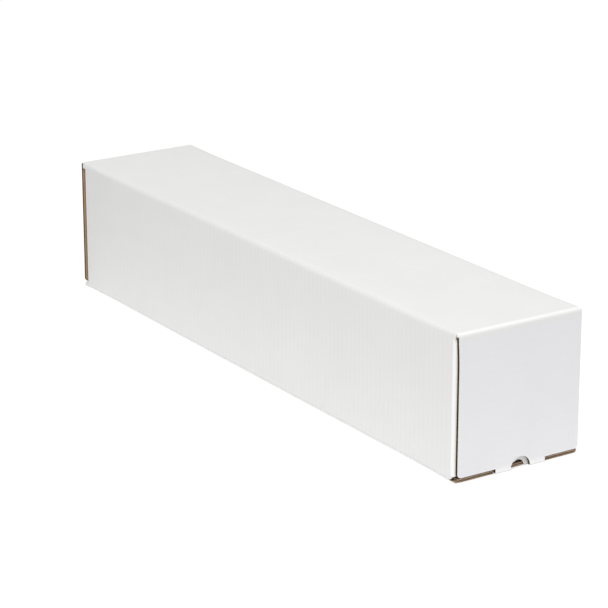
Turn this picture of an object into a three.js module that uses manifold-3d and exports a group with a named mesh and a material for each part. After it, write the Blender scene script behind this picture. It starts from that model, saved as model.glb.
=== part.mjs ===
// Square mailing tube of folded corrugated board, closed at both ends by a flap on its top panel.
// Millimetres, +Z up. The tube lies on its bottom panel with its length along Y and its width along X.
// The origin is under the middle of the tube, on the surface it lies on.

import * as THREE from "three";
import { mergeVertices } from "three/addons/utils/BufferGeometryUtils.js";
import Module from "manifold-3d";

// Outer size of the closed tube.
const tubeWidth = 131;
const tubeHeight = 133;
const tubeLength = 645;

// Board and folds.
const boardThickness = 3;
const longFoldInside = 2;
const endFoldInside = 0.4;

// Clearances between pieces that lie against each other.
const foldGap = 0.3;
const nearFlapSlack = 0.5;
const farFlapSlack = 3;
const tongueClearance = 0.4;
const floorClearance = 0.3;

// End flap: its right edge stays just inside the side panel, its left edge draws in a little below the top,
// and its bottom edge stands over the raw panel end.
const flapRightInset = 0.5;
const flapLeftInset = 1.8;
const flapTaperHeight = 25;
const flapBottomHeight = 4.7;
const flapCornerRadius = 4.2;
const tabWidth = 53;
const tabOffset = 3;
const tabCornerRadius = 0.8;
const thumbNotchRadius = 10.5;

// The top folds stop a little inside the tube's sides, and their ends slope down over the long folds.
const foldEndInset = 1.1;
const foldEndRun = 5.4;
const foldEndDrop = 2.5;

// Ears folded in from the side panels behind each end flap.
const earBottomHeight = 5.2;
const earTopClearance = 2.4;
const earCornerRadius = 9;
const earPastNotch = 10.5;
const earSpacing = 8;
const earNotchRadius = 6.3;
const tongueWidth = 15;

// Bottom panel end with the seat that the flap's tab stands in, and the small cut at one lower corner.
const bottomPanelSetback = 2;
const tabSeatSetback = 4.5;
const tabSeatClearance = 1;
const cornerCutLength = 9.5;
const cornerCutHeight = 8;
const cornerCutDepth = 4.6;

// Lap glued inside the right side panel along the closing corner.
const lapHeight = 30;
const lapEndInset = 22;
const lapEndTaper = 12;

// Steps in each quarter turn of an arc.
const foldSteps = 8;
const notchSteps = 18;

// Values worked out from the sizes above.
const halfWidth = tubeWidth / 2;
const halfLength = tubeLength / 2;
const longFoldRadius = boardThickness + longFoldInside;
const endFoldRadius = boardThickness + endFoldInside;
const nearEarFace = boardThickness + nearFlapSlack;
const farEarFace = boardThickness + farFlapSlack;
const foldHalfWidth = halfWidth - foldEndInset;
const bottomEndTop = flapBottomHeight - foldGap;
const earTop = tubeHeight - longFoldRadius - earTopClearance + boardThickness / 2;
const rightEarEdge = tabOffset - earPastNotch;
const leftEarEdge = rightEarEdge - earSpacing;
const tongueLeft = tabOffset + earNotchRadius;
const tongueRight = tongueLeft + tongueWidth;
const overlap = 2;

const wasm = await Module();
wasm.setup();

// Closed geometry to a solid that can be joined and cut.
function toSolid(geometry) {
  const bare = geometry.clone();
  bare.deleteAttribute("normal");
  bare.deleteAttribute("uv");
  const merged = mergeVertices(bare, 1e-5);
  const vertProperties = new Float32Array(merged.attributes.position.array);
  const triVerts = new Uint32Array(merged.index.array);
  return new wasm.Manifold(new wasm.Mesh({ numProp: 3, vertProperties, triVerts }));
}

// Solid back to a geometry for the scene.
function toGeometry(solid) {
  const mesh = solid.getMesh();
  const geometry = new THREE.BufferGeometry();
  geometry.setAttribute("position", new THREE.BufferAttribute(new Float32Array(mesh.vertProperties), 3));
  geometry.setIndex(new THREE.BufferAttribute(new Uint32Array(mesh.triVerts), 1));
  geometry.computeVertexNormals();
  return geometry;
}

function extruded(shape, depth, curveSteps) {
  return new THREE.ExtrudeGeometry(shape, { depth, bevelEnabled: false, curveSegments: curveSteps });
}

// Outline in X and Z, pulled along Y from one place to another.
function pulledAlongY(shape, from, to, curveSteps = foldSteps) {
  const geometry = extruded(shape, to - from, curveSteps);
  geometry.rotateX(Math.PI / 2);
  geometry.translate(0, to, 0);
  return toSolid(geometry);
}

// Outline in Y and Z, pulled along X from one place to another.
function pulledAlongX(shape, from, to) {
  const geometry = extruded(shape, to - from, foldSteps);
  const turn = new THREE.Matrix4().makeBasis(
    new THREE.Vector3(0, 1, 0),
    new THREE.Vector3(0, 0, 1),
    new THREE.Vector3(1, 0, 0),
  );
  geometry.applyMatrix4(turn);
  geometry.translate(from, 0, 0);
  return toSolid(geometry);
}

// Outline in X and Y, pulled along Z from one height to another.
function pulledAlongZ(shape, from, to) {
  const geometry = extruded(shape, to - from, foldSteps);
  geometry.translate(0, 0, from);
  return toSolid(geometry);
}

function block(x0, x1, y0, y1, z0, z1) {
  const geometry = new THREE.BoxGeometry(x1 - x0, y1 - y0, z1 - z0);
  geometry.translate((x0 + x1) / 2, (y0 + y1) / 2, (z0 + z1) / 2);
  return toSolid(geometry);
}

// Rectangle with round corners; target is a Shape, or a Path for a hole.
function roundedRectangle(target, x0, x1, z0, z1, radius) {
  target.moveTo(x0 + radius, z0);
  target.lineTo(x1 - radius, z0);
  target.absarc(x1 - radius, z0 + radius, radius, -Math.PI / 2, 0, false);
  target.lineTo(x1, z1 - radius);
  target.absarc(x1 - radius, z1 - radius, radius, 0, Math.PI / 2, false);
  target.lineTo(x0 + radius, z1);
  target.absarc(x0 + radius, z1 - radius, radius, Math.PI / 2, Math.PI, false);
  target.lineTo(x0, z0 + radius);
  target.absarc(x0 + radius, z0 + radius, radius, Math.PI, Math.PI * 1.5, false);
  return target;
}

function polygon(points) {
  return new THREE.Shape(points.map(([a, b]) => new THREE.Vector2(a, b)));
}

// A block under the tube's top that gives the ends of the top folds their slope.
function foldLimits() {
  const low = tubeHeight - foldEndDrop;
  const shape = polygon([
    [-foldHalfWidth, 0], [foldHalfWidth, 0], [foldHalfWidth, low], [foldHalfWidth - foldEndRun, tubeHeight],
    [-foldHalfWidth + foldEndRun, tubeHeight], [-foldHalfWidth, low],
  ]);
  return pulledAlongY(shape, -halfLength, halfLength);
}

// The four walls, with round long folds, as far as the raw ends of the bottom panel.
function walls() {
  const section = roundedRectangle(
    new THREE.Shape(), -halfWidth, halfWidth, 0, tubeHeight, longFoldRadius,
  );
  const inside = roundedRectangle(
    new THREE.Path(),
    -halfWidth + boardThickness,
    halfWidth - boardThickness,
    boardThickness,
    tubeHeight - boardThickness,
    longFoldInside,
  );
  section.holes.push(inside);
  return pulledAlongY(section, -halfLength + bottomPanelSetback, halfLength - bottomPanelSetback);
}

// Half of the fold at a tube end, as pairs of distance along the panel from the corner and depth under its
// outer face. The half stops short of the mitre by half the fold gap.
function halfFold(reach) {
  const points = [[reach, 0]];
  const outerLimit = Math.PI / 4 - Math.asin(foldGap / 2 / endFoldRadius);
  const innerLimit = Math.PI / 4 - Math.asin(foldGap / 2 / endFoldInside);
  for (let i = 0; i <= foldSteps; i++) {
    const angle = (outerLimit * i) / foldSteps;
    points.push([
      endFoldRadius * (1 - Math.sin(angle)),
      endFoldRadius * (1 - Math.cos(angle)),
    ]);
  }
  for (let i = foldSteps; i >= 0; i--) {
    const angle = (innerLimit * i) / foldSteps;
    points.push([
      endFoldRadius - endFoldInside * Math.sin(angle),
      endFoldRadius - endFoldInside * Math.cos(angle),
    ]);
  }
  points.push([reach, boardThickness]);
  return points;
}

// The top panel's part of the fold that carries the near end flap.
function topFold() {
  const reach = nearEarFace + longFoldRadius;
  const points = halfFold(reach).map(([along, depth]) => [-halfLength + along, tubeHeight - depth]);
  return pulledAlongX(polygon(points), -foldHalfWidth, foldHalfWidth).intersect(foldLimits());
}

// Ear and its fold in plan. Side is 1 for the right side panel and -1 for the left one.
function earFold(side, earFace) {
  const centreX = halfWidth - endFoldRadius;
  const centreY = earFace + endFoldRadius;
  const outer = [];
  const inner = [];
  for (let i = 0; i <= foldSteps; i++) {
    const angle = (Math.PI / 2) * (i / foldSteps);
    outer.push([centreX + endFoldRadius * Math.sin(angle), centreY - endFoldRadius * Math.cos(angle)]);
    inner.unshift([centreX + endFoldInside * Math.sin(angle), centreY - endFoldInside * Math.cos(angle)]);
  }
  const points = [
    [centreX - overlap, earFace],
    ...outer,
    [halfWidth, centreY + overlap],
    [halfWidth - boardThickness, centreY + overlap],
    ...inner,
    [centreX - overlap, earFace + boardThickness],
  ];
  const shape = polygon(points.map(([x, y]) => [side * x, y - halfLength]));
  return pulledAlongZ(shape, earBottomHeight, earTop);
}

// Left ear: a plain panel with round free corners.
function leftEar(earFace) {
  const shape = new THREE.Shape();
  const root = -halfWidth + endFoldRadius;
  shape.moveTo(root, earBottomHeight);
  shape.lineTo(leftEarEdge - earCornerRadius, earBottomHeight);
  shape.absarc(
    leftEarEdge - earCornerRadius, earBottomHeight + earCornerRadius, earCornerRadius, -Math.PI / 2, 0, false,
  );
  shape.lineTo(leftEarEdge, earTop - earCornerRadius);
  shape.absarc(
    leftEarEdge - earCornerRadius, earTop - earCornerRadius, earCornerRadius, 0, Math.PI / 2, false,
  );
  shape.lineTo(root, earTop);
  return pulledAlongY(shape, -halfLength + earFace, -halfLength + earFace + boardThickness);
}

// Right ear: reaches past the thumb notch, with a finger notch of its own and a tongue beside it that drops
// in front of the bottom panel.
function rightEar(earFace) {
  const shape = new THREE.Shape();
  const root = halfWidth - endFoldRadius;
  const notchStart = Math.asin((earBottomHeight - floorClearance) / earNotchRadius);
  shape.moveTo(root, earBottomHeight);
  shape.lineTo(root, earTop);
  shape.lineTo(rightEarEdge + earCornerRadius, earTop);
  shape.absarc(
    rightEarEdge + earCornerRadius, earTop - earCornerRadius, earCornerRadius, Math.PI / 2, Math.PI, false,
  );
  shape.lineTo(rightEarEdge, earBottomHeight);
  shape.absarc(tabOffset, floorClearance, earNotchRadius, Math.PI - notchStart, 0, true);
  shape.lineTo(tongueRight, floorClearance);
  shape.lineTo(tongueRight, earBottomHeight);
  return pulledAlongY(shape, -halfLength + earFace, -halfLength + earFace + boardThickness, notchSteps);
}

// What is cut from the walls at one end: all but the bottom panel back to the near ears' face, the side panels
// back to the ear folds, the seat for the flap's tab, and the slot for the tongue.
function endCuts(earFace) {
  const out = -halfLength - overlap;
  const sideCut = -halfLength + earFace + endFoldRadius;
  const frontCut = -halfLength + nearEarFace;
  const seatCut = -halfLength + tabSeatSetback;
  const seatReach = tabWidth / 2 + tabSeatClearance;
  const slotCut = -halfLength + earFace + boardThickness + tongueClearance;
  const sideDepth = longFoldRadius;
  return [
    block(-halfWidth - overlap, -halfWidth + sideDepth, out, sideCut, earBottomHeight - foldGap, earTop + foldGap),
    block(halfWidth - sideDepth, halfWidth + overlap, out, sideCut, earBottomHeight - foldGap, earTop + foldGap),
    block(-halfWidth - overlap, halfWidth + overlap, out, frontCut, bottomEndTop, tubeHeight + overlap),
    block(tabOffset - seatReach, tabOffset + seatReach, out, seatCut, -overlap, earBottomHeight),
    block(
      tongueLeft - tongueClearance, tongueRight + tongueClearance, out, slotCut, -overlap, earBottomHeight,
    ),
  ];
}

// Ears and top fold of one end, in the near end's place.
function endPieces(earFace) {
  return [earFold(1, earFace), earFold(-1, earFace), leftEar(earFace), rightEar(earFace), topFold()];
}

// Wedge missing from the near left lower corner.
function cornerCut() {
  const start = -halfLength;
  const end = start + cornerCutLength;
  const shape = polygon([[start, -overlap], [end, -overlap], [end, 0], [start, cornerCutHeight]]);
  return pulledAlongX(shape, -halfWidth - overlap, -halfWidth + cornerCutDepth);
}

// Lap glued inside the right side panel, with tapered ends.
function glueLap() {
  const low = boardThickness / 2;
  const high = boardThickness + lapHeight;
  const end = halfLength - lapEndInset;
  const shape = polygon([[-end, low], [end, low], [end - lapEndTaper, high], [-end + lapEndTaper, high]]);
  const face = halfWidth - boardThickness;
  return pulledAlongX(shape, face - boardThickness, face + boardThickness / 2);
}

// Turns a near end solid round to the far end.
function atFarEnd(solid) {
  return solid.rotate([0, 0, 180]);
}

function tubeBody() {
  const cuts = [
    ...endCuts(nearEarFace),
    ...endCuts(farEarFace).map(atFarEnd),
    cornerCut(),
  ];
  const pieces = [
    ...endPieces(nearEarFace),
    ...endPieces(farEarFace).map(atFarEnd),
    glueLap(),
  ];
  let body = walls();
  for (const cut of cuts) {
    body = body.subtract(cut);
  }
  for (const piece of pieces) {
    body = body.add(piece);
  }
  return body;
}

// Outline of an end flap seen from outside: a panel with a middle tab and a thumb notch in the tab.
function flapOutline() {
  const shape = new THREE.Shape();
  const left = -halfWidth + flapLeftInset;
  const right = halfWidth - flapRightInset;
  const top = tubeHeight - endFoldRadius;
  const corner = flapCornerRadius;
  const tabLeft = tabOffset - tabWidth / 2;
  const tabRight = tabOffset + tabWidth / 2;
  const tabCorner = tabCornerRadius;
  shape.moveTo(left + corner, flapBottomHeight);
  shape.lineTo(tabLeft, flapBottomHeight);
  shape.lineTo(tabLeft, floorClearance + tabCorner);
  shape.absarc(tabLeft + tabCorner, floorClearance + tabCorner, tabCorner, Math.PI, Math.PI * 1.5, false);
  shape.lineTo(tabOffset - thumbNotchRadius, floorClearance);
  shape.absarc(tabOffset, floorClearance, thumbNotchRadius, Math.PI, 0, true);
  shape.lineTo(tabRight - tabCorner, floorClearance);
  shape.absarc(tabRight - tabCorner, floorClearance + tabCorner, tabCorner, -Math.PI / 2, 0, false);
  shape.lineTo(tabRight, flapBottomHeight);
  shape.lineTo(right - corner, flapBottomHeight);
  shape.absarc(right - corner, flapBottomHeight + corner, corner, -Math.PI / 2, 0, false);
  shape.lineTo(right, top);
  shape.lineTo(-foldHalfWidth, top);
  shape.lineTo(left, top - flapTaperHeight);
  shape.lineTo(left, flapBottomHeight + corner);
  shape.absarc(left + corner, flapBottomHeight + corner, corner, Math.PI, Math.PI * 1.5, false);
  return shape;
}

// End flap in the near end's place: its panel, and its part of the fold.
function endFlap() {
  const panel = pulledAlongY(flapOutline(), -halfLength, -halfLength + boardThickness, notchSteps);
  const reach = endFoldRadius + flapCornerRadius;
  const left = -halfWidth + flapLeftInset;
  const top = tubeHeight - endFoldRadius;
  const points = halfFold(reach).map(([along, depth]) => [-halfLength + depth, tubeHeight - along]);
  const fold = pulledAlongX(polygon(points.reverse()), -foldHalfWidth, foldHalfWidth);
  const taper = polygon([
    [-foldHalfWidth, top], [left, top - flapTaperHeight], [left, top - flapTaperHeight - overlap],
    [-halfWidth - overlap, top - flapTaperHeight - overlap], [-halfWidth - overlap, top],
  ]);
  const beside = pulledAlongY(taper, -halfLength - overlap, -halfLength + boardThickness + overlap);
  return panel.add(fold.intersect(foldLimits()).subtract(beside));
}

function boardMaterial(colour) {
  return new THREE.MeshStandardMaterial({ color: colour, roughness: 0.85, metalness: 0 });
}

function named(name, solid, colour) {
  const mesh = new THREE.Mesh(toGeometry(solid), boardMaterial(colour));
  mesh.name = name;
  return mesh;
}

const squareMailingTube = new THREE.Group();
squareMailingTube.add(named("tube_body", tubeBody(), 0xe6e6e1));
squareMailingTube.add(named("near_end_flap", endFlap(), 0xe3e3e5));

const farEnd = new THREE.Group();
farEnd.rotation.z = Math.PI;
farEnd.add(named("far_end_flap", endFlap(), 0xe3e3e5));
squareMailingTube.add(farEnd);

export default squareMailingTube;
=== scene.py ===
import math
import bmesh
import bpy
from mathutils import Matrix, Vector, noise


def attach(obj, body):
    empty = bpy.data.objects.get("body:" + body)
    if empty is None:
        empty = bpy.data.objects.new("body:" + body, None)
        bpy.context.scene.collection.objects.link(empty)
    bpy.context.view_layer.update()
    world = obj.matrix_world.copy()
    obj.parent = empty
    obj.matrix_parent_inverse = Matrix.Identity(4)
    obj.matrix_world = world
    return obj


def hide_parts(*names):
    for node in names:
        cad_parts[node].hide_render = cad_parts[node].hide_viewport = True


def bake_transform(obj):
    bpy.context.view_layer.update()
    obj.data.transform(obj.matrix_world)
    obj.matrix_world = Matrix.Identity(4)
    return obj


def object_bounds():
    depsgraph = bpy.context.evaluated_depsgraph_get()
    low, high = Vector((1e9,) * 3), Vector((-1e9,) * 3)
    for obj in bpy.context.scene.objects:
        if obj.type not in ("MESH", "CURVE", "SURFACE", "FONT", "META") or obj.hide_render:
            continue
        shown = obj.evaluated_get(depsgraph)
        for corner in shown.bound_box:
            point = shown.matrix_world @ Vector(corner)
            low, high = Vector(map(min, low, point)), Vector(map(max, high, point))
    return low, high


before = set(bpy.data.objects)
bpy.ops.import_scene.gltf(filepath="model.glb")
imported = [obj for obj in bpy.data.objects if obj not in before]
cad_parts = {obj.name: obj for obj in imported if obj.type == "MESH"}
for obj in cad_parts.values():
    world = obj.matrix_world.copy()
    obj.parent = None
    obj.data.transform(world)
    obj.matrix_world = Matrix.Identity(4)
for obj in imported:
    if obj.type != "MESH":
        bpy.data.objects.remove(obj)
cadLow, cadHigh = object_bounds()
print("frame loaded, size", [round(v, 4) for v in cadHigh - cadLow])

# Outer size of the closed tube, in metres, from the frame
halfWide = cadHigh.x
halfLong = cadHigh.y
tall = cadHigh.z

# Corrugated board: two liners and a fluted medium between them
board = {"thick": 0.003, "liner": 0.00035, "medium": 0.00026, "pitch": 0.0065, "stepsPerWave": 10}
folds = {"long": 0.005, "longSteps": 8, "end": 0.0034, "endInside": 0.0004, "endSteps": 8}
foldHalfWide = halfWide - folds["long"]
hair = 0.00002
spare = 0.004


# Modelling by hand: select, change, apply
def selectOnly(piece):
    if bpy.context.mode != "OBJECT":
        bpy.ops.object.mode_set(mode="OBJECT")
    bpy.ops.object.select_all(action="DESELECT")
    piece.select_set(True)
    bpy.context.view_layer.objects.active = piece


def addBox(name, low, high):
    bpy.ops.object.select_all(action="DESELECT")
    middle = [(a + b) / 2 for a, b in zip(low, high)]
    bpy.ops.mesh.primitive_cube_add(size=1, location=middle, scale=[b - a for a, b in zip(low, high)])
    box = bpy.context.object
    box.name = name
    bpy.ops.object.transform_apply(location=True, rotation=True, scale=True)
    return box


def addRod(name, middle, radius, length, steps=48):
    bpy.ops.object.select_all(action="DESELECT")
    bpy.ops.mesh.primitive_cylinder_add(
        vertices=steps, radius=radius, depth=length, location=middle, rotation=(math.pi / 2, 0, 0)
    )
    rod = bpy.context.object
    rod.name = name
    bpy.ops.object.transform_apply(location=True, rotation=True, scale=True)
    return rod


# Opens edit mode with the edges whose middle and direction pass the test
def pickEdges(piece, test):
    selectOnly(piece)
    bpy.ops.object.mode_set(mode="EDIT")
    bpy.ops.mesh.select_mode(type="EDGE")
    bpy.ops.mesh.select_all(action="DESELECT")
    mesh = bmesh.from_edit_mesh(piece.data)
    for edge in mesh.edges:
        a, b = (corner.co for corner in edge.verts)
        edge.select_set(bool(test((a + b) / 2, (b - a).normalized())))
    bmesh.update_edit_mesh(piece.data)


# Opens edit mode with the faces whose middle and normal pass the test
def pickFaces(piece, test):
    selectOnly(piece)
    bpy.ops.object.mode_set(mode="EDIT")
    bpy.ops.mesh.select_mode(type="FACE")
    bpy.ops.mesh.select_all(action="DESELECT")
    mesh = bmesh.from_edit_mesh(piece.data)
    mesh.normal_update()
    for face in mesh.faces:
        face.select_set(bool(test(face.calc_center_median(), face.normal)))
    bmesh.update_edit_mesh(piece.data)


def roundEdges(piece, test, radius, steps):
    pickEdges(piece, test)
    bpy.ops.mesh.bevel(offset=radius, offset_type="OFFSET", segments=steps, profile=0.5, affect="EDGES")
    bpy.ops.object.mode_set(mode="OBJECT")


def divideEdges(piece, test, cuts):
    pickEdges(piece, test)
    bpy.ops.mesh.subdivide(number_cuts=cuts)
    bpy.ops.object.mode_set(mode="OBJECT")


def dropFaces(piece, test):
    pickFaces(piece, test)
    bpy.ops.mesh.delete(type="FACE")
    bpy.ops.object.mode_set(mode="OBJECT")


def applyAll(piece):
    selectOnly(piece)
    for name in [change.name for change in piece.modifiers]:
        bpy.ops.object.modifier_apply(modifier=name)


# Gives a one-sided sheet its thickness, away from its outer face.
# The rim takes the second material slot and the back takes the third
def thicken(piece, thickness, offset=-1):
    change = piece.modifiers.new("thickness", "SOLIDIFY")
    change.thickness = thickness
    change.offset = offset
    change.use_even_offset = True
    change.material_offset = 2
    change.material_offset_rim = 1
    applyAll(piece)


def combine(piece, other, operation):
    change = piece.modifiers.new("combine", "BOOLEAN")
    change.operation = operation
    change.solver = "EXACT"
    change.object = other
    applyAll(piece)
    bpy.data.objects.remove(other, do_unlink=True)


# Three slots: the outer face, cut edges, and the back
def coat(piece, outer, edge, back):
    piece.data.materials.clear()
    for material in (outer, edge, back):
        piece.data.materials.append(material)


def cutAway(piece, cutter):
    coat(cutter, *piece.data.materials)
    for face in cutter.data.polygons:
        face.material_index = 1
    combine(piece, cutter, "DIFFERENCE")


def keepInside(piece, shape):
    coat(shape, *piece.data.materials)
    for face in shape.data.polygons:
        face.material_index = 1
    combine(piece, shape, "INTERSECT")


def turnToFarEnd(piece):
    selectOnly(piece)
    piece.rotation_euler.z = math.pi
    bpy.ops.object.transform_apply(location=True, rotation=True, scale=True)


def joinInto(name, pieces):
    selectOnly(pieces[0])
    for piece in pieces[1:]:
        piece.select_set(True)
    bpy.ops.object.join()
    made = bpy.context.object
    made.name = name
    made.data.name = name
    return made


def smooth(piece, degrees=40):
    selectOnly(piece)
    bpy.ops.object.shade_smooth_by_angle(angle=math.radians(degrees))


# Shader maths: arithmetic adds Math nodes, node() adds any other node
class Wire:
    def __init__(self, tree, socket=None):
        self.tree = tree
        self.socket = socket

    def node(self, kind, values=None, settings=None, stops=None, output=0):
        made = self.tree.nodes.new(kind)
        for key, value in (settings or {}).items():
            setattr(made, key, value)
        for place, (position, shade) in enumerate(stops or []):
            if place > 1:
                made.color_ramp.elements.new(position)
            made.color_ramp.elements[place].position = position
            made.color_ramp.elements[place].color = (shade, shade, shade, 1)
        for key, value in (values or {}).items():
            if isinstance(value, Wire):
                self.tree.links.new(value.socket, made.inputs[key])
            else:
                made.inputs[key].default_value = value
        return Wire(self.tree, made.outputs[output] if made.outputs else None)

    def maths(self, operation, first, second=0.0, clamp=False):
        settings = {"operation": operation, "use_clamp": clamp}
        return self.node("ShaderNodeMath", {0: first, 1: second}, settings)

    def __add__(self, other):
        return self.maths("ADD", self, other)

    __radd__ = __add__

    def __mul__(self, other):
        return self.maths("MULTIPLY", self, other)

    def __sub__(self, other):
        return self.maths("SUBTRACT", self, other)

    def sine(self):
        return self.maths("SINE", self)

    def clamped(self):
        return self.maths("ADD", self, 0.0, clamp=True)

    def mixed(self, low, high):
        values = {0: self, 6: (*low, 1), 7: (*high, 1)}
        return self.node("ShaderNodeMix", values, {"data_type": "RGBA"}, output=2)


def newMaterial(name):
    material = bpy.data.materials.new(name)
    material.use_nodes = True
    tree = material.node_tree
    shader = tree.nodes["Principled BSDF"]
    shader.inputs["Specular IOR Level"].default_value = 0.35
    return material, shader, Wire(tree)


def plug(wire, shader, socket):
    wire.tree.links.new(wire.socket, shader.inputs[socket])


# Bleached liner: faint flutes telegraphing through as bumps and as painted shade bands in the colour, cloudy
# tone and fine fibre
whiteFinish = {
    "dark": (0.775, 0.775, 0.765),
    "light": (0.865, 0.865, 0.86),
    # Next: the white painted on as highlight along outer folds and on the flaps' lowest part
    "paintedHighlight": (0.94, 0.94, 0.94),
    # Next two: bump depth of the flutes, and how strongly they band the colour as painted shade
    "fluteDepth": 0.00003,
    "fluteShadeTone": 0.075,
    "flapFluteShare": 0.3,
    "wander": 1.4,
    "wanderScale": 14.0,
    "cloudScale": 22.0,
    "cloudTone": 0.5,
    "fibreScale": 1100.0,
    "fibreTone": 0.35,
    "fibreDepth": 0.000018,
    "roughness": 0.58,
    "roughnessSpread": 0.16,
    # Blue added to the flaps' colour: painted cool light
    "flapCoolLight": 0.024,
    # How far in from an outer fold the painted highlight is full
    "highlightFull": 0.0006,
}


# How much of a surface takes the painted highlight white, from none at one place on an axis to all at
# another
def highlightRamp(coordinate, none, full):
    values = {"Value": coordinate, "From Min": none, "From Max": full}
    return coordinate.node("ShaderNodeMapRange", values, {"interpolation_type": "SMOOTHSTEP"})


# Mixes the painted highlight white into a colour by a share
def paintHighlight(colour, share):
    values = {0: share, 6: colour, 7: (*whiteFinish["paintedHighlight"], 1)}
    return colour.node("ShaderNodeMix", values, {"data_type": "RGBA"}, output=2)


# Each fold entry is an axis, the place on it of an outer fold, and how wide the painted highlight along that
# fold is.
# A flap has fainter, less even flutes, a bluer tint that is painted cool light, and a painted highlight near
# the floor below a given height
def whiteLiner(name, fluteAxis, flapHighlightBelow=None, foldHighlights=()):
    finish = whiteFinish
    material, shader, start = newMaterial(name)
    place = start.node("ShaderNodeTexCoord", output="Object")
    along = place.node("ShaderNodeSeparateXYZ", {0: place}, output=fluteAxis)
    wanders = {"Vector": place, "Scale": finish["wanderScale"], "Detail": 1.0}
    wander = place.node("ShaderNodeTexNoise", wanders)
    even = finish["flapFluteShare"] if flapHighlightBelow else 1
    wave = (along * (2 * math.pi / board["pitch"]) + wander * (finish["wander"] / even)).sine()
    clouds = {"Vector": place, "Scale": finish["cloudScale"], "Detail": 5.0, "Roughness": 0.6}
    cloud = place.node("ShaderNodeTexNoise", clouds)
    fibre = place.node("ShaderNodeTexNoise", {"Vector": place, "Scale": finish["fibreScale"], "Detail": 3.0})
    tone = 0.5 + (cloud - 0.5) * finish["cloudTone"] + (fibre - 0.5) * finish["fibreTone"]
    # The flute wave bands the colour: painted shade and light of the washboard
    tone = (tone + wave * (finish["fluteShadeTone"] * even)).clamped()
    # Flaps get a bluer colour: painted cool light
    cool = (0, 0, finish["flapCoolLight"] if flapHighlightBelow else 0)
    colour = tone.mixed(*([a + b for a, b in zip(finish[shade], cool)] for shade in ("dark", "light")))
    # Outer folds are painted whiter: a painted highlight
    share = None
    for axis, edge, wide in foldHighlights:
        distance = place.maths("ABSOLUTE", place.node("ShaderNodeSeparateXYZ", {0: place}, output=axis))
        near = highlightRamp(distance, edge - wide, edge - finish["highlightFull"])
        share = share * near if share else near
    if share:
        colour = paintHighlight(colour, share)
    # A flap is painted whiter towards the floor: painted highlight
    if flapHighlightBelow:
        height = place.node("ShaderNodeSeparateXYZ", {0: place}, output="Z")
        colour = paintHighlight(colour, highlightRamp(height, flapHighlightBelow, 0.0))
    plug(colour, shader, "Base Color")
    plug(finish["roughness"] + fibre * finish["roughnessSpread"], shader, "Roughness")
    height = wave * (finish["fluteDepth"] * even) + fibre * finish["fibreDepth"]
    plug(height.node("ShaderNodeBump", {"Height": height, "Distance": 1.0}), shader, "Normal")
    return material


# Brown paper: inside liner, fluted medium and cut edges
kraftFinish = {
    "kraft": {"dark": (0.33, 0.205, 0.105), "light": (0.55, 0.375, 0.225)},
    "edge": {"dark": (0.46, 0.35, 0.24), "light": (0.78, 0.63, 0.47)},
    # Medium: its own grey-brown darkened nearly black as painted shade of the flute hollows; it also paints
    # shade on liner backs facing the flutes and on the crease strip's cut edges
    "medium": {"dark": (0.035, 0.024, 0.016), "light": (0.12, 0.082, 0.05)},
    "rawEnd": {"dark": (0.38, 0.29, 0.2), "light": (0.82, 0.68, 0.52)},
    "fibreScale": 1400.0,
    "fibreTone": 1.1,
    "fibreDepth": 0.00003,
    "cloudScale": 60.0,
    "cloudTone": 0.6,
    "roughness": 0.7,
    "roughnessSpread": 0.2,
}


def kraftPaper(name):
    material, shader, start = newMaterial(name)
    place = start.node("ShaderNodeTexCoord", output="Object")
    fibres = {"Vector": place, "Scale": kraftFinish["fibreScale"], "Detail": 4.0, "Roughness": 0.7}
    fibre = place.node("ShaderNodeTexNoise", fibres)
    clouds = {"Vector": place, "Scale": kraftFinish["cloudScale"], "Detail": 4.0}
    cloud = place.node("ShaderNodeTexNoise", clouds)
    tone = 0.5 + (fibre - 0.5) * kraftFinish["fibreTone"] + (cloud - 0.5) * kraftFinish["cloudTone"]
    plug(tone.clamped().mixed(kraftFinish[name]["dark"], kraftFinish[name]["light"]), shader, "Base Color")
    plug(kraftFinish["roughness"] + fibre * kraftFinish["roughnessSpread"], shader, "Roughness")
    height = fibre * kraftFinish["fibreDepth"]
    plug(height.node("ShaderNodeBump", {"Height": height, "Distance": 1.0}), shader, "Normal")
    return material


paper = {
    "walls": whiteLiner("whiteWalls", "Y"),
    # The crease's top front fold and the ears' side folds carry painted highlights
    "crease": whiteLiner("whiteCrease", "Y", foldHighlights=(("Y", halfLong, 0.0045), ("Z", tall, 0.0045))),
    "ears": whiteLiner("whiteEars", "X", foldHighlights=(("X", halfWide, 0.0024),)),
    # The flaps are painted whiter near the floor as painted highlight, and bluer as painted cool light
    "flaps": whiteLiner("whiteFlaps", "Z", flapHighlightBelow=0.0075),
    **{name: kraftPaper(name) for name in ("kraft", "edge", "medium", "rawEnd")},
}
print("papers made")


# The walls: outer liner, inner liner, and the medium where the ends show it
walls = {
    "start": 0.0035,
    "bottomSetback": 0.002,
    "bottomTop": 0.0044,
    "seatSetback": 0.0045,
    "seatGap": 0.0005,
    "tighten": 4.5,
    "tightenReach": 0.06,
    "bow": 0.0008,
    "bowEndReach": 0.02,
    "bowSwayPerMetre": 5,
    "bowSkin": 0.0012,
    "ringsAlong": 36,
    "ringsAcross": 6,
    "mediumReach": 0.021,
    "creaseReach": 0.007,
    "creaseCutLeft": 0.00375,
    "creaseCutRight": 0.0039,
    "cornerCutLong": 0.0112,
    "cornerCutTall": 0.008,
    "cornerCutLow": 0.0013,
    "cornerCutDeep": 0.0046,
    "seamHeight": 0.0052,
    "seamWide": 0.0004,
}
ear = {
    "nearFace": 0.0035,
    "farFace": 0.006,
    "bottom": 0.0052,
    "top": tall - 0.0059,
    "corner": 0.009,
    "pastNotch": 0.0105,
    "spacing": 0.008,
    "notch": 0.0063,
    "tongueWide": 0.015,
    "tongueGap": 0.0004,
    "sideReach": 0.0006,
    "gap": 0.00006,
}
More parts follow.
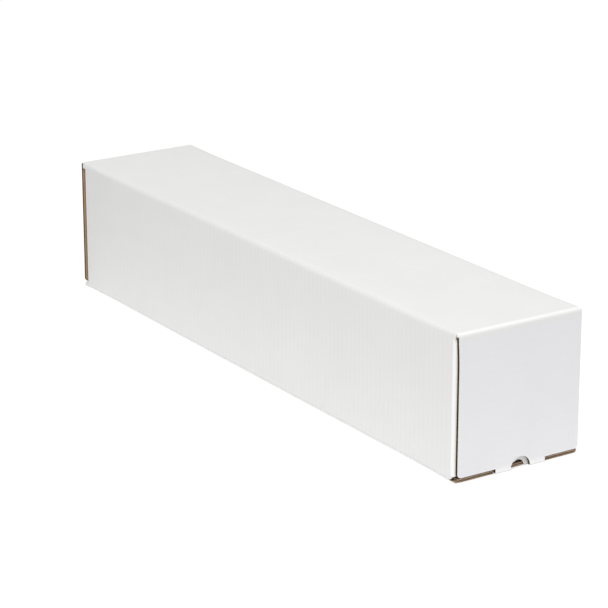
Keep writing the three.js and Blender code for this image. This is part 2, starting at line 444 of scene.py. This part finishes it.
flap = {
    "left": -halfWide + 0.0018,
    "leftAtTop": -halfWide + 0.0005,
    "right": halfWide - 0.0005,
    "taper": 0.028,
    "taperPower": 1.6,
    "bottom": 0.0047,
    "corner": 0.0042,
    "tabWide": 0.053,
    "tabOffset": 0.003,
    "tabCorner": 0.0008,
    "notch": 0.0105,
    "floorGap": 0.0003,
}
seatReach = flap["tabWide"] / 2 + walls["seatGap"]
creaseLeft = -halfWide + 0.0006
creaseRight = flap["right"]
rightEarEdge = flap["tabOffset"] - ear["pastNotch"]
leftEarEdge = rightEarEdge - ear["spacing"]
tongueLeft = flap["tabOffset"] + ear["notch"]
tongueRight = tongueLeft + ear["tongueWide"]


# Four-sided tube without ends, one face thick, with rounded long folds
def ringSheet(name, inset, start, end, ringsAlong, ringsAcross):
    low = (-halfWide + inset, start, inset)
    high = (halfWide - inset, end, tall - inset)
    sheet = addBox(name, low, high)
    dropFaces(sheet, lambda middle, normal: abs(normal.y) > 0.5)
    divideEdges(sheet, lambda middle, line: abs(line.y) < 0.5, ringsAcross)
    divideEdges(sheet, lambda middle, line: abs(line.y) > 0.5, ringsAlong)
    roundEdges(
        sheet,
        lambda middle, line: abs(line.y) > 0.5
        and abs(middle.x) > high[0] - hair
        and (middle.z < low[2] + hair or middle.z > high[2] - hair),
        folds["long"] - inset,
        folds["longSteps"],
    )
    return sheet


# How far a wall is pulled in at a place: most in the middle of a panel, nothing at folds and tube ends.
# The bottom panel stays flat
def bowIn(place, inset):
    cross = Vector((place.x / foldHalfWide, (place.z - tall / 2) / (tall / 2 - folds["long"])))
    ends = 1 - abs(place.y / (halfLong - walls["bowEndReach"])) ** 6
    if ends <= 0:
        return Vector((0, 0, 0))
    along = place.y * walls["bowSwayPerMetre"]
    sway = 0.75 + 0.5 * noise.noise(Vector((along, round(cross.x), round(cross.y) * 3)))
    depth = walls["bow"] * ends * sway
    shift = Vector((0, 0, 0))
    if abs(place.x) > halfWide - inset - walls["bowSkin"] and abs(cross.y) < 1:
        shift.x = -math.copysign(depth * (1 - cross.y ** 2) ** 2, place.x)
    if place.z > tall - inset - walls["bowSkin"] and abs(cross.x) < 1:
        shift.z = -depth * (1 - cross.x ** 2) ** 2
    return shift


# Long folds draw in to a tighter corner towards the tube's ends
def tightened(place, inset):
    radius = folds["long"] - inset
    centreUp = folds["long"] if place.z < tall / 2 else tall - folds["long"]
    centre = Vector((math.copysign(foldHalfWide, place.x), 0, centreUp))
    across, up = (place.x - centre.x) / radius, (place.z - centre.z) / radius
    outward = across * place.x > 0 and up * (centreUp - tall / 2) > 0
    nearEnd = max(0, 1 - (halfLong - abs(place.y)) / walls["tightenReach"])
    if abs(place.x) < foldHalfWide or not outward or nearEnd <= 0:
        return place
    power = 2 / (2 + (walls["tighten"] - 2) * nearEnd ** 2)
    length = math.hypot(across, up)
    turned = [math.copysign(abs(v / length) ** power, v) * length for v in (across, up)]
    return Vector((centre.x + turned[0] * radius, place.y, centre.z + turned[1] * radius))


# Last shaping of a cut wall layer
def settle(sheet, inset):
    for point in sheet.data.vertices:
        place = point.co.copy()
        point.co = tightened(place, inset) + bowIn(place, inset)


def wallLiner(name, inset, outer):
    start = -halfLong + walls["bottomSetback"]
    sheet = ringSheet(name, inset, start, -start, walls["ringsAlong"], walls["ringsAcross"])
    coat(sheet, outer, paper["edge"], paper["rawEnd"] if inset == 0 else paper["kraft"])
    thicken(sheet, board["liner"])
    return sheet


def wallMedium(name):
    start = -halfLong + walls["bottomSetback"]
    end = start + walls["mediumReach"]
    rings = round(walls["mediumReach"] / board["pitch"] * board["stepsPerWave"])
    swing = board["thick"] / 2 - board["liner"] - board["medium"] / 2 - hair
    sheet = ringSheet(name, board["thick"] / 2, start, end, rings, 1)
    wave = 2 * math.pi / board["pitch"]
    shifts = [point.normal * swing * math.sin(point.co.y * wave) for point in sheet.data.vertices]
    for point, shift in zip(sheet.data.vertices, shifts):
        point.co += shift
    coat(sheet, paper["rawEnd"], paper["rawEnd"], paper["rawEnd"])
    thicken(sheet, board["medium"], offset=0)
    return sheet


# What one end leaves out of the walls, at the near end's place
def endCutters(face):
    out = -halfLong - spare
    sideCut = -halfLong + face + folds["end"] + ear["sideReach"]
    low = ear["bottom"] - ear["gap"]
    high = ear["top"] + ear["gap"]
    slotCut = -halfLong + face + board["thick"] + ear["tongueGap"]
    return [
        addBox("cut", (-halfWide - spare, out, low), (-foldHalfWide, sideCut, high)),
        addBox("cut", (foldHalfWide, out, low), (halfWide + spare, sideCut, high)),
        addBox(
            "cut",
            (-halfWide - spare, out, walls["bottomTop"]),
            (halfWide + spare, -halfLong + walls["start"], tall + spare),
        ),
        addBox(
            "cut",
            (flap["tabOffset"] - seatReach, out, -spare),
            (flap["tabOffset"] + seatReach, -halfLong + walls["seatSetback"], ear["bottom"]),
        ),
        addBox(
            "cut",
            (tongueLeft - ear["tongueGap"], out, -spare),
            (tongueRight + ear["tongueGap"], slotCut, ear["bottom"] + hair),
        ),
        addBox(
            "cut",
            (-foldHalfWide - walls["creaseCutLeft"], out, tall - board["thick"] * 1.1),
            (foldHalfWide + walls["creaseCutRight"], -halfLong + walls["creaseReach"], tall + spare),
        ),
    ]


# Small wedge missing from the near left lower corner
def cornerWedge():
    wedge = addBox(
        "cut",
        (-halfWide - spare, -halfLong - hair, walls["cornerCutLow"]),
        (-halfWide + walls["cornerCutDeep"], -halfLong + walls["cornerCutLong"], walls["cornerCutTall"]),
    )
    for point in wedge.data.vertices:
        if point.co.z > walls["cornerCutLow"] + hair and point.co.y > -halfLong + spare:
            point.co.z = walls["cornerCutLow"] + hair * 5
    return wedge


# Open line where the right panel's lower edge meets the fold that carries the glue lap
def seamCutter():
    return addBox(
        "cut",
        (halfWide - board["liner"] * 1.5, -halfLong, walls["seamHeight"]),
        (halfWide + spare, halfLong, walls["seamHeight"] + walls["seamWide"]),
    )


def cutEnds(sheet, near=True, far=True):
    if near:
        for cutter in [*endCutters(ear["nearFace"]), cornerWedge()]:
            cutAway(sheet, cutter)
    if far:
        for cutter in endCutters(ear["farFace"]):
            turnToFarEnd(cutter)
            cutAway(sheet, cutter)


lap = {"tall": 0.03, "endInset": 0.022, "taper": 0.012, "edge": 0.0004}


# Glue lap inside the right panel, with tapered ends
def glueLap():
    inner = halfWide - board["thick"]
    end = halfLong - lap["endInset"]
    top = board["thick"] + lap["tall"]
    low = (inner - board["thick"], -end, board["thick"] + hair)
    plate = addBox("glue_lap", low, (inner - hair, end, top))
    for point in plate.data.vertices:
        if point.co.z > top - hair:
            point.co.y -= math.copysign(lap["taper"], point.co.y)
    divideEdges(plate, lambda middle, line: abs(line.y) > 0.5, walls["ringsAlong"])
    for point in plate.data.vertices:
        point.co += bowIn(Vector((halfWide, point.co.y, point.co.z)), 0)
    roundEdges(plate, lambda middle, line: middle.z > top - hair and abs(line.y) > 0.5, lap["edge"], 2)
    coat(plate, paper["kraft"], paper["medium"], paper["medium"])
    return plate


outerLiner = wallLiner("wall_outer_liner", 0.0, paper["walls"])
cutEnds(outerLiner)
cutAway(outerLiner, seamCutter())
innerLiner = wallLiner("wall_inner_liner", board["thick"] - board["liner"], paper["kraft"])
cutEnds(innerLiner)
nearMedium = wallMedium("wall_medium_near")
cutEnds(nearMedium, far=False)
farMedium = wallMedium("wall_medium_far")
turnToFarEnd(farMedium)
cutEnds(farMedium, near=False)
lapPlate = glueLap()
settle(outerLiner, 0)
settle(innerLiner, board["thick"] - board["liner"])
settle(nearMedium, board["thick"] / 2)
settle(farMedium, board["thick"] / 2)
wallPieces = [outerLiner, innerLiner, nearMedium, farMedium, lapPlate]
print("walls made")


# Ears: each folds round the end of its side panel
def earOutline(side, face):
    front = -halfLong + face - spare
    back = -halfLong + face + folds["end"] + spare
    if side < 0:
        shape = addBox("outline", (-halfWide - spare, front, ear["bottom"]), (leftEarEdge, back, ear["top"]))
        free = leftEarEdge
    else:
        shape = addBox("outline", (rightEarEdge, front, ear["bottom"]), (halfWide + spare, back, ear["top"]))
        free = rightEarEdge
    roundEdges(
        shape,
        lambda middle, line: abs(line.y) > 0.5
        and abs(middle.x - free) < hair
        and (side < 0 or middle.z > tall / 2),
        ear["corner"],
        12,
    )
    if side > 0:
        low = (flap["tabOffset"], front, flap["floorGap"])
        tongue = addBox("tongue", low, (tongueRight, back, ear["bottom"] + ear["notch"]))
        combine(shape, tongue, "UNION")
        middle = (flap["tabOffset"], (front + back) / 2, flap["floorGap"])
        combine(shape, addRod("notch", middle, ear["notch"], (back - front) * 1.5), "DIFFERENCE")
    return shape


# One liner of an ear and of the fold that it hangs on, from a box that keeps its front and one side
def earLiner(side, face, inset, outer):
    reach = -halfLong + face + folds["end"] + ear["sideReach"]
    far = leftEarEdge if side < 0 else rightEarEdge
    wall = side * (halfWide - inset)
    low = (min(far, wall), -halfLong + face + inset, 0)
    high = (max(far, wall), reach, tall)
    sheet = addBox("ear", low, high)
    dropFaces(sheet, lambda middle, normal: normal.y > -0.5 and normal.x * side < 0.5)
    roundEdges(
        sheet,
        lambda middle, line: abs(line.z) > 0.5
        and abs(middle.x - wall) < hair
        and abs(middle.y - low[1]) < hair,
        folds["end"] - inset,
        folds["endSteps"],
    )
    # The outer liner's back faces the flutes and takes the dark medium as painted shade
    coat(sheet, outer, paper["edge"], paper["medium"] if inset == 0 else paper["kraft"])
    thicken(sheet, board["liner"])
    keepInside(sheet, earOutline(side, face))
    return sheet


# Wavy medium in a flat panel. It runs in waves along one axis, and stands between the two liners
def wavyPanel(name, low, high, middleY, alongX):
    bpy.ops.object.select_all(action="DESELECT")
    across, up = high[0] - low[0], high[1] - low[1]
    waves = (across if alongX else up) / board["pitch"]
    steps = round(waves * board["stepsPerWave"])
    bpy.ops.mesh.primitive_grid_add(
        x_subdivisions=steps if alongX else 1,
        y_subdivisions=1 if alongX else steps,
        size=1,
        location=((low[0] + high[0]) / 2, middleY, (low[1] + high[1]) / 2),
        rotation=(math.pi / 2, 0, 0),
    )
    sheet = bpy.context.object
    sheet.name = name
    sheet.scale = (across, up, 1)
    bpy.ops.object.transform_apply(location=True, rotation=True, scale=True)
    swing = board["thick"] / 2 - board["liner"] - board["medium"] / 2 - hair
    for point in sheet.data.vertices:
        along = point.co.x if alongX else point.co.z
        point.co.y += swing * math.sin(along * 2 * math.pi / board["pitch"])
    # The medium's own grey-brown, darkened as painted shade of its hollows
    coat(sheet, paper["medium"], paper["medium"], paper["medium"])
    thicken(sheet, board["medium"], offset=0)
    return sheet


def makeEar(name, side, face):
    far = leftEarEdge if side < 0 else rightEarEdge
    root = side * (halfWide - folds["end"])
    low = (min(far, root), 0)
    high = (max(far, root), tall)
    medium = wavyPanel("medium", low, high, -halfLong + face + board["thick"] / 2, alongX=True)
    keepInside(medium, earOutline(side, face))
    outer = earLiner(side, face, 0, paper["ears"])
    inner = earLiner(side, face, board["thick"] - board["liner"], paper["kraft"])
    if side < 0 and face == ear["nearFace"]:
        for layer in (outer, inner, medium):
            cutAway(layer, cornerWedge())
    return joinInto(name, [outer, inner, medium])


earPieces = []
for label, face in (("near", ear["nearFace"]), ("far", ear["farFace"])):
    for side, word in ((-1, "left"), (1, "right")):
        piece = makeEar(f"{label}_{word}_ear", side, face)
        if label == "far":
            turnToFarEnd(piece)
        earPieces.append(piece)
print("ears made")


# Left edge of a flap at a height, drawn in a little below the top
def flapLeftAt(height):
    under = max(0, tall - folds["end"] - height)
    share = max(0, 1 - under / flap["taper"]) ** flap["taperPower"]
    return flap["left"] - (flap["left"] - flap["leftAtTop"]) * share


# End flap's face: a plate with its tab, less the thumb notch
def flapPlate(name, front, back):
    plate = addBox(name, (flap["left"], front, flap["bottom"]), (flap["right"], back, tall - hair))
    roundEdges(
        plate, lambda middle, line: abs(line.y) > 0.5 and middle.z < tall / 2, flap["corner"], 8
    )
    divideEdges(plate, lambda middle, line: abs(line.z) > 0.5, 24)
    for point in plate.data.vertices:
        if point.co.x < flap["left"] + hair:
            point.co.x = flapLeftAt(point.co.z)
    left = flap["tabOffset"] - flap["tabWide"] / 2
    right = flap["tabOffset"] + flap["tabWide"] / 2
    tab = addBox("tab", (left, front, flap["floorGap"]), (right, back, flap["bottom"] * 4))
    roundEdges(
        tab, lambda middle, line: abs(line.y) > 0.5 and middle.z < flap["bottom"], flap["tabCorner"], 4
    )
    combine(plate, tab, "UNION")
    middle = (flap["tabOffset"], (front + back) / 2, flap["floorGap"])
    combine(plate, addRod("notch", middle, flap["notch"], (back - front) * 2, 64), "DIFFERENCE")
    return plate


# The part of a flap above this line belongs to the crease strip
def aboveCrease(front, back):
    return addBox(
        "cut",
        (-halfWide - spare, front - spare, tall - walls["creaseReach"]),
        (halfWide + spare, back + spare, tall + spare),
    )


def makeFlap(name):
    front = -halfLong
    back = front + board["thick"]
    outer = flapPlate("outer", front, front + board["liner"])
    # Liner faces that face the flutes take the dark medium as painted shade
    coat(outer, paper["flaps"], paper["edge"], paper["medium"])
    inner = flapPlate("inner", back - board["liner"], back)
    coat(inner, paper["medium"], paper["edge"], paper["kraft"])
    for sheet in (outer, inner):
        for face in sheet.data.polygons:
            face.material_index = 1 if abs(face.normal.y) < 0.9 else (0 if face.normal.y < 0 else 2)
    medium = wavyPanel("medium", (-halfWide, 0), (halfWide, tall), (front + back) / 2, alongX=False)
    keepInside(medium, flapPlate("outline", front - hair, back + hair))
    for sheet in (outer, inner, medium):
        cutAway(sheet, aboveCrease(front, back))
    return joinInto(name, [outer, inner, medium])


# Crease that joins a flap to the top panel: one bent strip of board, white outside, with a sharp outer line
crease = {"tighten": 3.4, "cuts": 2, "rings": 90}


def creaseStrip(name):
    reach = walls["creaseReach"]
    low = (creaseLeft, -halfLong, tall - reach)
    high = (creaseRight, -halfLong + reach, tall)
    sheet = addBox(name, low, high)
    dropFaces(sheet, lambda middle, normal: normal.y > -0.5 and normal.z < 0.5)
    roundEdges(
        sheet,
        lambda middle, line: abs(line.x) > 0.5 and middle.y < low[1] + hair and middle.z > high[2] - hair,
        folds["end"],
        folds["endSteps"] * 2,
    )
    arc = folds["end"] - hair
    divideEdges(
        sheet,
        lambda middle, line: abs(line.x) < 0.5 and (middle.z < tall - arc or middle.y > -halfLong + arc),
        crease["cuts"],
    )
    divideEdges(sheet, lambda middle, line: abs(line.x) > 0.5, crease["rings"])
    # The strip's cut edges take the dark medium as painted shade of flute hollows
    coat(sheet, paper["crease"], paper["medium"], paper["kraft"])
    thicken(sheet, board["thick"])
    for point in sheet.data.vertices:
        along, up = -point.co.y - halfLong + folds["end"], point.co.z - tall + folds["end"]
        length = math.hypot(along, up)
        if along > 0 and up > 0 and length > folds["end"] - hair * 2:
            for axis, value, sign, edge in (("y", along, -1, -halfLong), ("z", up, 1, tall)):
                out = folds["end"] * (value / length) ** (2 / crease["tighten"])
                setattr(point.co, axis, edge + sign * (out - folds["end"]))
        shoulder = min(1, max(0, (abs(point.co.x) - foldHalfWide) / folds["long"]))
        drop = folds["long"] * (1 - (1 - shoulder ** walls["tighten"]) ** (1 / walls["tighten"]))
        point.co.z -= drop * max(0, 1 - (tall - point.co.z) / board["thick"])
        under = tall - point.co.z - board["thick"]
        if point.co.x < creaseLeft + hair and under > 0:
            point.co.x += min(1, under / (reach - board["thick"])) * (flapLeftAt(tall - reach) - creaseLeft)
    for face in sheet.data.polygons:
        if face.normal.x < -0.9 and face.center.z > tall - board["thick"]:
            face.material_index = 0
    return sheet


flapPieces = {}
creasePieces = {}
for label in ("near", "far"):
    flapPieces[label] = makeFlap(f"{label}_flap_board")
    creasePieces[label] = creaseStrip(f"{label}_crease")
    if label == "far":
        turnToFarEnd(flapPieces[label])
        turnToFarEnd(creasePieces[label])
print("flaps made")


# Bodies, and the nodes that these pieces stand for
for piece in [*wallPieces, *earPieces]:
    smooth(piece)
    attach(piece, "tube")
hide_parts("tube_body")
for label, side in (("near", -1), ("far", 1)):
    smooth(flapPieces[label], 30)
    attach(flapPieces[label], f"{label}_flap")
    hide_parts(f"{label}_end_flap")
    smooth(creasePieces[label])
    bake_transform(creasePieces[label])


# Camera where the photograph was taken from
camera = {"place": (-1.2491, -1.8903, 0.8140), "pitch": 18.46, "turn": -33.35, "lens": 149.8}
eye = bpy.data.objects.new("camera", bpy.data.cameras.new("camera"))
bpy.context.scene.collection.objects.link(eye)
eye.location = camera["place"]
eye.rotation_euler = (math.radians(90 - camera["pitch"]), 0, math.radians(camera["turn"]))
eye.data.lens = camera["lens"]
eye.data.sensor_width = 36
bpy.context.scene.camera = eye

# White floor and sky for what the camera sees. The tube is lit by a dimmer sky, a lamp, and a light table
light = {
    "sky": 0.63,
    "lampPower": 29,
    "lampSize": 1.2,
    "lampPlace": (-0.92, -1.08, 2.15),
    "tablePower": 0.88,
    "tableSize": (0.63, 1.08),
    "tablePlace": (0, -0.22, -0.00005),
    "floorColour": 0.6,
    "floorGlow": 0.64,
    "floorShade": 0.5,
}


def seenRays(start):
    kinds = ("Camera", "Glossy", "Transmission")
    rays = [start.node("ShaderNodeLightPath", output=f"Is {kind} Ray") for kind in kinds]
    return (rays[0] + rays[1] + rays[2]).clamped()


def floorMaterial():
    material = bpy.data.materials.new("floor")
    material.use_nodes = True
    tree = material.node_tree
    tree.nodes.clear()
    start = Wire(tree)
    plain = start.node("ShaderNodeBsdfDiffuse", {"Color": (*[light["floorColour"]] * 3, 1)})
    shaded = start.node("ShaderNodeBsdfDiffuse", {"Color": (*[light["floorShade"]] * 3, 1)})
    glow = start.node("ShaderNodeEmission", {"Color": (1, 1, 1, 1), "Strength": light["floorGlow"]})
    white = start.node("ShaderNodeAddShader", {0: shaded, 1: glow})
    mixed = start.node("ShaderNodeMixShader", {0: seenRays(start), 1: plain, 2: white})
    start.node("ShaderNodeOutputMaterial", {"Surface": mixed})
    return material


def addFloor():
    bpy.ops.object.select_all(action="DESELECT")
    bpy.ops.mesh.primitive_plane_add(size=60, location=(0, 0, -0.0001))
    floor = bpy.context.object
    floor.name = "floor"
    bpy.ops.object.transform_apply(location=True, rotation=True, scale=True)
    floor.data.materials.append(floorMaterial())


def lightScene():
    world = bpy.data.worlds.new("sky")
    bpy.context.scene.world = world
    world.use_nodes = True
    tree = world.node_tree
    tree.nodes.clear()
    start = Wire(tree)
    sky = start.node("ShaderNodeBackground", {"Color": (1, 1, 1, 1), "Strength": light["sky"]})
    white = start.node("ShaderNodeBackground", {"Color": (1, 1, 1, 1), "Strength": 1.0})
    mixed = start.node("ShaderNodeMixShader", {0: seenRays(start), 1: sky, 2: white})
    start.node("ShaderNodeOutputWorld", {"Surface": mixed})
    lamp = bpy.data.objects.new("lamp", bpy.data.lights.new("lamp", "AREA"))
    bpy.context.scene.collection.objects.link(lamp)
    lamp.data.energy = light["lampPower"]
    lamp.data.size = light["lampSize"]
    lamp.location = light["lampPlace"]
    towards = Vector((0, 0, tall / 2)) - lamp.location
    lamp.rotation_euler = towards.to_track_quat("-Z", "Y").to_euler()
    table = bpy.data.objects.new("table", bpy.data.lights.new("table", "AREA"))
    bpy.context.scene.collection.objects.link(table)
    table.data.shape = "RECTANGLE"
    table.data.size, table.data.size_y = light["tableSize"]
    table.data.energy = light["tablePower"]
    table.location = light["tablePlace"]
    table.rotation_euler = (math.pi, 0, 0)
    table.visible_camera = False
    table.visible_glossy = False
    bpy.context.scene.view_settings.view_transform = "Standard"


addFloor()
lightScene()
print("camera, floor and light set")
